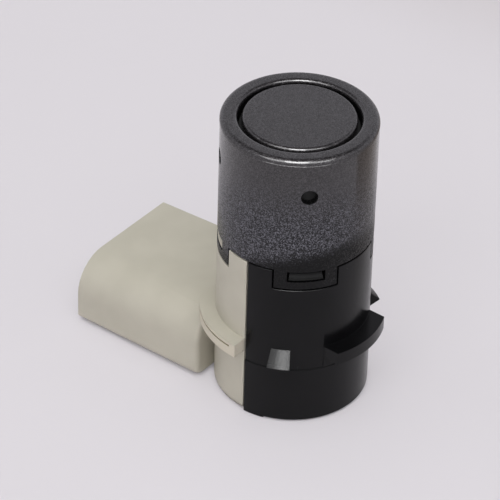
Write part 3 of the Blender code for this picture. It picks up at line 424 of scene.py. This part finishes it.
def black_plastic(material):
    """Smooth and dark, with a fine parting line darkened by painted shade, dull lugs and sparkling barbs."""
    tree, shader = fresh_tree(material)
    axes, radius = axes_and_radius(tree)
    parting = band(tree, axes["Z"], *PARTING_BAND)
    lugs = lug_places(tree, axes)
    barbs = barb_places(tree, axes, radius)
    base = dusty(tree, clouded(tree, BLACK_COLOURS), BLACK_DUST)
    rough = worn(tree, *BLACK_ROUGHNESS)
    for share, roughness in ((parting, PARTING_ROUGHNESS), (lugs, LUG_ROUGHNESS), (barbs, BARB_ROUGHNESS)):
        rough = maths(tree, "MAXIMUM", rough, product(tree, share, roughness))
    slopes = product(tree, barbs, barb_relief(tree, axes))
    shape = maths(tree, "ADD", slopes, ledge_roll(tree, axes, radius))
    height = maths(tree, "ADD", moulded_grain(tree), shape)
    # The parting line's darker colour is painted shade under its step.
    dress(
        tree, shader, Base_Color=mix(tree, parting, base, PARTING_SHADE_COLOUR), Roughness=rough,
        Specular_IOR_Level=BLACK_GLOSS, Normal=relief(tree, height, edges=BLACK_EDGE_RADIUS),
    )


# The beige half

def lit_stop_places(tree, axes, radius):
    """Where the stop gets painted light: 1 on the stop, less towards the shroud, and 0 elsewhere."""
    beside = spread(tree, maths(tree, "ABSOLUTE", axes["Y"]), *STOP_SIDES)
    return product(tree, beside, band(tree, radius, *STOP_RADII), band(tree, axes["Z"], *STOP_BAND))


def shaded_groove_places(tree, axes, radius):
    """1 in the stop's fine groove, where shade is painted darker, and 0 elsewhere."""
    before_end = maths(tree, "LESS_THAN", axes["X"], GROOVE_END)
    return product(tree, before_end, band(tree, axes["Z"], *GROOVE_BAND), band(tree, radius, *GROOVE_RADII))


def beige_plastic(material):
    """Satin, with painted light that makes the stop paler, painted shade in the stop's fine groove and a
    rounded foot.
    """
    tree, shader = fresh_tree(material)
    axes, radius = axes_and_radius(tree)
    base = dusty(tree, clouded(tree, BEIGE_COLOURS), BEIGE_DUST)
    # Painted light: the stop is made paler.
    base = mix(tree, lit_stop_places(tree, axes, radius), base, STOP_PAINTED_LIGHT_COLOUR)
    # Painted shade in the stop's groove.
    base = mix(tree, shaded_groove_places(tree, axes, radius), base, GROOVE_SHADE_COLOUR)
    foot = roll_off(tree, excess(tree, FOOT_TOP, axes["Z"]), FOOT_ROUND)
    dress(
        tree, shader, Base_Color=base, Roughness=worn(tree, *BEIGE_ROUGHNESS),
        Specular_IOR_Level=BEIGE_GLOSS, Normal=relief(tree, maths(tree, "ADD", moulded_grain(tree), foot)),
    )


# Metallic paint

def flakes(tree, size):
    """Brightness of the paint's metal flakes, each cell with its own."""
    return channel(tree, cells(tree, size)[1], "Green")


def flaked(tree, colours, size, dark_share):
    """The first colour, with flakes of up to the second in it."""
    return mix(tree, spread(tree, flakes(tree, size), dark_share, 1.0), *colours)


def tipped_normal(tree):
    """The surface's normal, tipped a little another way on each flake."""
    colour = cells(tree, TIPPED_FLAKE_SIZE)[1]
    offset = add(tree, "ShaderNodeVectorMath", {0: colour, 1: (0.5, 0.5, 0.5)}, operation="SUBTRACT")
    tipped = add(tree, "ShaderNodeVectorMath", {0: offset.outputs[0], "Scale": FLAKE_TIP}, operation="SCALE")
    plain = add(tree, "ShaderNodeNewGeometry").outputs["Normal"]
    total = add(tree, "ShaderNodeVectorMath", {0: plain, 1: tipped.outputs[0]}, operation="ADD")
    return add(tree, "ShaderNodeVectorMath", {0: total.outputs[0]}, operation="NORMALIZE").outputs[0]


def paint_cover(tree, axes, radius):
    """1 where the head is fully painted and 0 on bare plastic. The spray came from above and one side."""
    turn = math.radians(FADE_TURN)
    along = product(tree, axes["X"], math.cos(turn) / HEAD_RADIUS)
    across = product(tree, axes["Y"], math.sin(turn) / HEAD_RADIUS)
    limit = maths(tree, "MULTIPLY_ADD", maths(tree, "ADD", along, across), FADE_TILT, FADE_HEIGHT)
    above = maths(tree, "SUBTRACT", axes["Z"], limit)
    cloud_size, cloud_shift = EDGE_CLOUD
    droplet_size, droplet_shift = EDGE_DROPLET
    uneven = centred(tree, noise(tree, cloud_size, detail=4.0, roughness=0.6), cloud_shift)
    droplets = centred(tree, flakes(tree, droplet_size), droplet_shift)
    shaken = maths(tree, "ADD", above, maths(tree, "ADD", uneven, droplets))
    reached = spread(tree, shaken, -FADE_REACH, FADE_REACH)
    outside = maths(tree, "GREATER_THAN", radius, HEAD_RADIUS - PAINT_DEPTH)
    open_top = maths(tree, "GREATER_THAN", axes["Z"], PAINTED_BORE)
    return product(tree, reached, maths(tree, "MAXIMUM", outside, open_top))


def metallic_paint(material, fades):
    """Dark grey metallic paint under a clear coat. On the sleeve it fades into the black plastic below.

    Towards its lower edge the paint went on as dry spray, which leaves its flakes coarse and bright.
    """
    tree, shader = fresh_tree(material)
    axes, radius = axes_and_radius(tree)
    dryness = spread(tree, axes["Z"], DRY_SPRAY_TOP, DRY_SPRAY_BOTTOM)
    smooth = flaked(tree, SMOOTH_COLOURS, *SMOOTH_FLAKE)
    base = mix(tree, dryness, smooth, flaked(tree, GRITTY_COLOURS, *GRITTY_FLAKE))
    metallic, rough, coat = PAINT_METALLIC, PAINT_ROUGHNESS, 1.0
    if fades:
        cover = paint_cover(tree, axes, radius)
        base = mix(tree, cover, BARE_HEAD_COLOUR, base)
        metallic = product(tree, cover, metallic)
        rough = spread(tree, cover, 0.0, 1.0, BARE_HEAD_ROUGHNESS, rough)
        coat = product(tree, cover, maths(tree, "MULTIPLY_ADD", dryness, -DRY_SPRAY_COAT_LOSS, coat))
    peel = noise(tree, PEEL_SIZE, detail=2.0)
    dress(
        tree, shader, Base_Color=base, Metallic=metallic, Roughness=rough, Specular_IOR_Level=PAINT_GLOSS,
        Coat_Weight=coat, Coat_Roughness=COAT_ROUGHNESS, Normal=tipped_normal(tree),
        Coat_Normal=relief(tree, peel, PEEL_DEPTH, PAINT_EDGE_RADIUS),
    )


# The other finishes

def soft_rubber(material):
    """Black silicone, matt, with a slight bloom."""
    tree, shader = fresh_tree(material)
    bloom = spread(tree, noise(tree, BLOOM_SIZE, detail=4.0), *BLOOM_RANGE)
    dress(
        tree, shader, Base_Color=mix(tree, bloom, *SILICONE_COLOURS), Roughness=SILICONE_ROUGHNESS,
        Normal=pitted(tree, *SILICONE_PITS),
    )


def metal(material, colours, roughness, patch_size):
    """Bare or tinned metal with a faintly uneven surface."""
    tree, shader = fresh_tree(material)
    patches = spread(tree, noise(tree, patch_size, detail=4.0, roughness=0.6), *CLOUD_RANGE)
    dress(
        tree, shader, Base_Color=mix(tree, patches, *colours), Metallic=1.0,
        Roughness=spread(tree, patches, 0.0, 1.0, *(roughness * share for share in METAL_WEAR_SHARES)),
        Normal=pitted(tree, *METAL_PITS),
    )


def grainy(material, colours, roughness, grain_size):
    """A plain solid with a visible grain, such as fired ceramic, ferrite or felted foam."""
    tree, shader = fresh_tree(material)
    grain = noise(tree, grain_size, detail=5.0, roughness=0.65)
    dress(
        tree, shader, Base_Color=mix(tree, spread(tree, grain, *GRAIN_RANGE), *colours),
        Roughness=roughness, Normal=relief(tree, grain, grain_size * GRAIN_STEEPNESS),
    )


def wound_copper(material):
    """Enamelled wire: fine turns side by side, as ridges along Z, painted darker between the turns as shade
    and lighter on their crests as highlight.
    """
    tree, shader = fresh_tree(material)
    height = axes_and_radius(tree)[0]["Z"]
    turns = maths(tree, "SINE", product(tree, height, 2 * math.pi / COPPER_TURN))
    ridge = spread(tree, turns, -1.0, 1.0)
    # Painted shade and highlight follow the ridges.
    dress(
        tree, shader, Base_Color=mix(tree, ridge, *COPPER_SHADE_AND_HIGHLIGHT_COLOURS), Metallic=0.85, Roughness=0.3,
        Coat_Weight=0.6, Normal=relief(tree, ridge, COPPER_RIDGE),
    )


def circuit_lacquer(material):
    """Green solder resist over copper tracks, which show as a faint relief."""
    tree, shader = fresh_tree(material)
    inputs = {"Vector": place(tree), "Scale": 1 / TRACK_SPACING, "Mortar Size": TRACK_GAP}
    inputs |= {"Color1": WHITE, "Color2": WHITE, "Mortar": BLACK}
    tracks = add(tree, "ShaderNodeTexBrick", inputs).outputs["Fac"]
    dress(
        tree, shader, Base_Color=mix(tree, tracks, *LACQUER_COLOURS), Roughness=0.28,
        Normal=relief(tree, tracks, TRACK_DEPTH),
    )


def finish_materials():
    """Gives each of the record's material slots its finish."""
    found = bpy.data.materials
    metallic_paint(found["head_paint"], fades=True)
    metallic_paint(found["membrane_paint"], fades=False)
    black_plastic(found["black_plastic"])
    beige_plastic(found["beige_plastic"])
    moulded_plastic(found["chip_plastic"], CHIP_COLOURS, CHIP_ROUGHNESS)
    moulded_plastic(found["wire_sleeve"], WIRE_SLEEVE_COLOURS, WIRE_SLEEVE_ROUGHNESS)
    soft_rubber(found["black_silicone"])
    grainy(found["piezo_ceramic"], CERAMIC_COLOURS, roughness=0.6, grain_size=0.2 * MM)
    grainy(found["damping_foam"], FOAM_COLOURS, roughness=0.95, grain_size=0.5 * MM)
    grainy(found["ferrite"], FERRITE_COLOURS, roughness=0.5, grain_size=0.15 * MM)
    metal(found["tinned_metal"], TIN_COLOURS, roughness=0.28, patch_size=0.4 * MM)
    metal(found["aluminium_can"], CAN_COLOURS, roughness=0.32, patch_size=1.5 * MM)
    wound_copper(found["enamelled_copper"])
    circuit_lacquer(found["circuit_board"])


# The CAD solids

def smooth_shading(piece):
    """Rounds the shading of curved faces and keeps real edges sharp. The shape stays."""
    mesh = piece.data
    if mesh.has_custom_normals:
        mesh.attributes.remove(mesh.attributes["custom_normal"])
    mesh.polygons.foreach_set("use_smooth", [True] * len(mesh.polygons))
    weld = piece.modifiers.new("weld", "WELD")
    weld.merge_threshold = WELD_DISTANCE
    split = piece.modifiers.new("sharp_edges", "EDGE_SPLIT")
    split.split_angle = math.radians(SHARP_ANGLE)
    split.use_edge_sharp = False
    even = piece.modifiers.new("even_normals", "WEIGHTED_NORMAL")
    even.mode = "FACE_AREA_WITH_ANGLE"
    even.keep_sharp = True


# Studio

def add_glow(tree, shader, paper):
    """The paper is lit from below as well, which only a camera or a reflection sees.

    That light is shut off where the sensor stands close to the paper, so its contact shadow stays dark.
    """
    path = add(tree, "ShaderNodeLightPath").outputs
    seen = maths(tree, "MAXIMUM", path["Is Camera Ray"], path["Is Glossy Ray"])
    seen = maths(tree, "MAXIMUM", seen, path["Is Transmission Ray"])
    clear = add(tree, "ShaderNodeAmbientOcclusion", {"Distance": CONTACT_REACH}, samples=8).outputs["AO"]
    glow = add(tree, "ShaderNodeEmission", {"Color": paper, "Strength": 1.0}).outputs[0]
    share = product(tree, seen, clear, FLOOR_GLOW)
    blend = add(tree, "ShaderNodeMixShader", {0: share, 1: shader.outputs["BSDF"], 2: glow})
    output = next(n for n in tree.nodes if n.type == "OUTPUT_MATERIAL")
    tree.links.new(blend.outputs[0], output.inputs["Surface"])


def make_floor():
    """Pale paper under the sensor, with painted shade that darkens it far behind."""
    bpy.ops.mesh.primitive_plane_add(size=FLOOR_SIZE, location=(0, 0, CAD_BOX[0].z))
    floor = bpy.context.active_object
    floor.name = "floor"
    material = bpy.data.materials.new("floor_paper")
    tree, shader = fresh_tree(material)
    clouds = spread(tree, noise(tree, FLOOR_CLOUD_SIZE), *CLOUD_RANGE)
    paper = mix(tree, clouds, FLOOR_COLOUR, FLOOR_CLOUD_COLOUR)
    # Painted shade: the paper darkens far behind the sensor.
    paper = mix(tree, spread(tree, axes_and_radius(tree)[0]["Y"], *FLOOR_SHADE_PLACES), paper, FLOOR_SHADE_COLOUR)
    dress(tree, shader, Base_Color=paper, Roughness=0.8, Specular_IOR_Level=0.2)
    add_glow(tree, shader, paper)
    floor.data.materials.append(material)


def make_reflection_shade_sheet():
    """A glowing sheet beyond the paper, on the camera's right, which only reflections see: a painted
    reflection that darkens the head's right flank.
    """
    turned = Matrix.Rotation(math.radians(CAMERA_TURN), 3, "Z")
    middle = turned @ Vector((*REFLECTION_SHEET_PLACE, CAD_BOX[0].z + REFLECTION_SHEET_LIFT))
    bpy.ops.mesh.primitive_plane_add(size=1.0, location=middle, rotation=(0, 0, math.radians(CAMERA_TURN)))
    shade_sheet = bpy.context.active_object
    shade_sheet.name = "painted_reflection_shade_sheet"
    shade_sheet.scale = (*REFLECTION_SHEET_SIZE, 1.0)
    shade_sheet.visible_camera = False
    shade_sheet.visible_diffuse = False
    shade_sheet.visible_shadow = False
    material = bpy.data.materials.new("painted_reflection_shade")
    tree, shader = fresh_tree(material)
    across = axes_and_radius(tree)[0]["X"]
    # Painted reflection: the sheet glows darker than the paper.
    shade = mix(tree, spread(tree, across, *REFLECTION_SHEET_SOFT_EDGE), FLOOR_COLOUR, REFLECTION_SHEET_COLOUR)
    dress(
        tree, shader, Base_Color=BLACK, Specular_IOR_Level=0.0, Emission_Color=shade, Emission_Strength=1.0,
    )
    shade_sheet.data.materials.append(material)


def make_world():
    """Pale screens all round at the height of the horizon, and a dark room above them."""
    world = bpy.data.worlds.new("studio")
    bpy.context.scene.world = world
    world.use_nodes = True
    tree = world.node_tree
    tree.nodes.clear()
    towards = add(tree, "ShaderNodeTexCoord").outputs["Generated"]
    height = add(tree, "ShaderNodeSeparateXYZ", {"Vector": towards}).outputs["Z"]
    colour = mix(tree, spread(tree, height, *SCREEN_END), SCREEN_COLOUR, ROOM_COLOUR)
    background = add(tree, "ShaderNodeBackground", {"Color": colour, "Strength": 1.0})
    output = tree.nodes.new("ShaderNodeOutputWorld")
    tree.links.new(background.outputs[0], output.inputs["Surface"])


def direction(turn, elevation):
    """From the sensor towards a lamp. A turn of 0 is on the -Y side and 90 on the +X side."""
    a, e = math.radians(turn), math.radians(elevation)
    return Vector((math.sin(a) * math.cos(e), -math.cos(a) * math.cos(e), math.sin(e)))


def make_softbox(name, towards, distance, size, power):
    """A softbox, of that width and height, that faces the middle of the sensor."""
    lamp = bpy.data.lights.new(name, "AREA")
    lamp.shape = "RECTANGLE"
    lamp.size, lamp.size_y = size
    lamp.energy = power
    box = bpy.data.objects.new(name, lamp)
    bpy.context.scene.collection.objects.link(box)
    middle = (CAD_BOX[0] + CAD_BOX[1]) / 2
    box.location = middle + towards * distance
    box.rotation_euler = towards.to_track_quat("Z", "Y").to_euler()
    return box


def make_lights():
    """Two softboxes that light the sensor, and two, one before the other, that show only in its gloss."""
    towards_key = direction(CAMERA_TURN + KEY_TURN, KEY_ELEVATION)
    towards_gloss = direction(CAMERA_TURN + GLOSS_TURN, GLOSS_ELEVATION)
    key = make_softbox("key", towards_key, KEY_DISTANCE, KEY_SIZE, KEY_POWER)
    top = make_softbox("top", Vector((0, 0, 1)), TOP_HEIGHT, TOP_SIZE, TOP_POWER)
    wide = make_softbox("gloss", towards_gloss, GLOSS_DISTANCE, GLOSS_SIZE, GLOSS_POWER)
    core = make_softbox("gloss_core", towards_gloss, CORE_DISTANCE, CORE_SIZE, CORE_POWER)
    for lamp in (key, top):
        lamp.visible_glossy = False
    for lamp in (wide, core):
        lamp.visible_diffuse = False


def make_camera():
    """The camera at the photograph's place."""
    camera = bpy.data.objects.new("camera", bpy.data.cameras.new("camera"))
    bpy.context.scene.collection.objects.link(camera)
    camera.data.lens = CAMERA_LENS
    camera.data.sensor_width = CAMERA_SENSOR
    camera.data.clip_start, camera.data.clip_end = CAMERA_CLIP
    turned = Matrix.Rotation(math.radians(CAMERA_TURN), 4, "Z")
    stand = Matrix.Translation((CAMERA_SIDE, -CAMERA_BACK, CAMERA_HEIGHT))
    tilted = Matrix.Rotation(math.radians(90 - CAMERA_ELEVATION), 4, "X")
    rolled = Matrix.Rotation(math.radians(CAMERA_ROLL), 4, "Z")
    camera.matrix_world = turned @ stand @ tilted @ rolled
    bpy.context.scene.camera = camera


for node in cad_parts.values():
    smooth_shading(node)
finish_materials()
make_floor()
make_reflection_shade_sheet()
make_world()
make_lights()
make_camera()
bpy.context.scene.view_settings.view_transform = "Standard"
